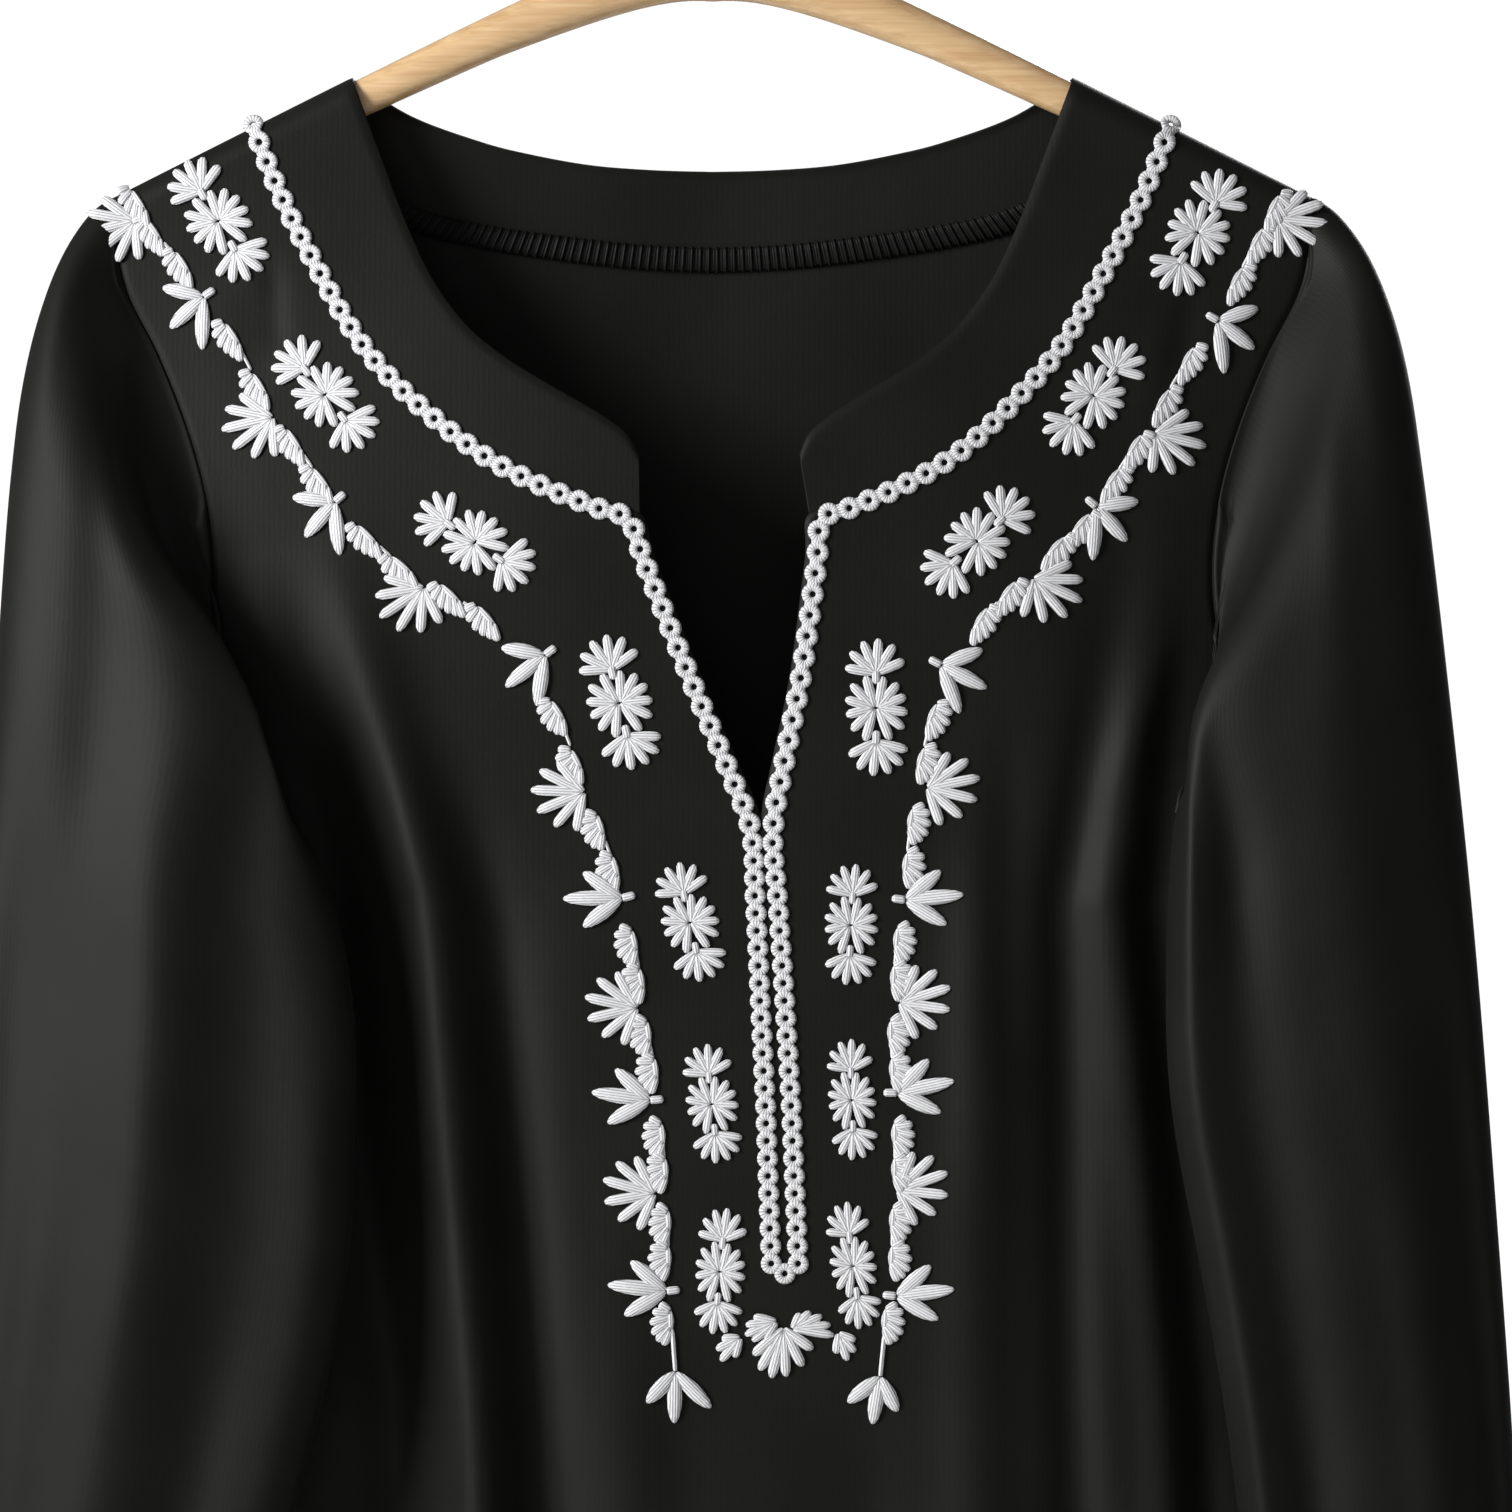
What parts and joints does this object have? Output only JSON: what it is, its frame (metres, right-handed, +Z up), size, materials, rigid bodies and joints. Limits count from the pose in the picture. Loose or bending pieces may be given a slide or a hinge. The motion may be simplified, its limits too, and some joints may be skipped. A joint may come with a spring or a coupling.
{
  "type": "embroidered top on a hanger",
  "caption": "Long-sleeved top with a notched V neck, ring-chain trim and white flower embroidery on dark crepe, hung on a plain wooden hanger with a wire hook.",
  "frame": {"origin": "inner top of the hanger's hook, where a rod carries it", "axes": "+Z up, +X to the viewer's right and +Y from the front of the top to its back"},
  "size_m": [0.514, 0.0945, 0.8089],
  "materials": {
    "cloth": "matte black crepe",
    "thread": "white satin-stitch thread",
    "hanger_wood": "clear-lacquered pale wood",
    "hook_steel": "bright plated wire"
  },
  "bodies": {
    "root": {"front": "cloth", "back": "cloth", "sleeve_left": "cloth", "sleeve_right": "cloth", "neck_band_front_left": "cloth", "neck_band_front_right": "cloth", "neck_band_back": "cloth", "ring_trim_left": "thread", "ring_trim_right": "thread", "hanger_arms": "hanger_wood", "hanger_hook": "hook_steel"}
  },
  "joints": []
}
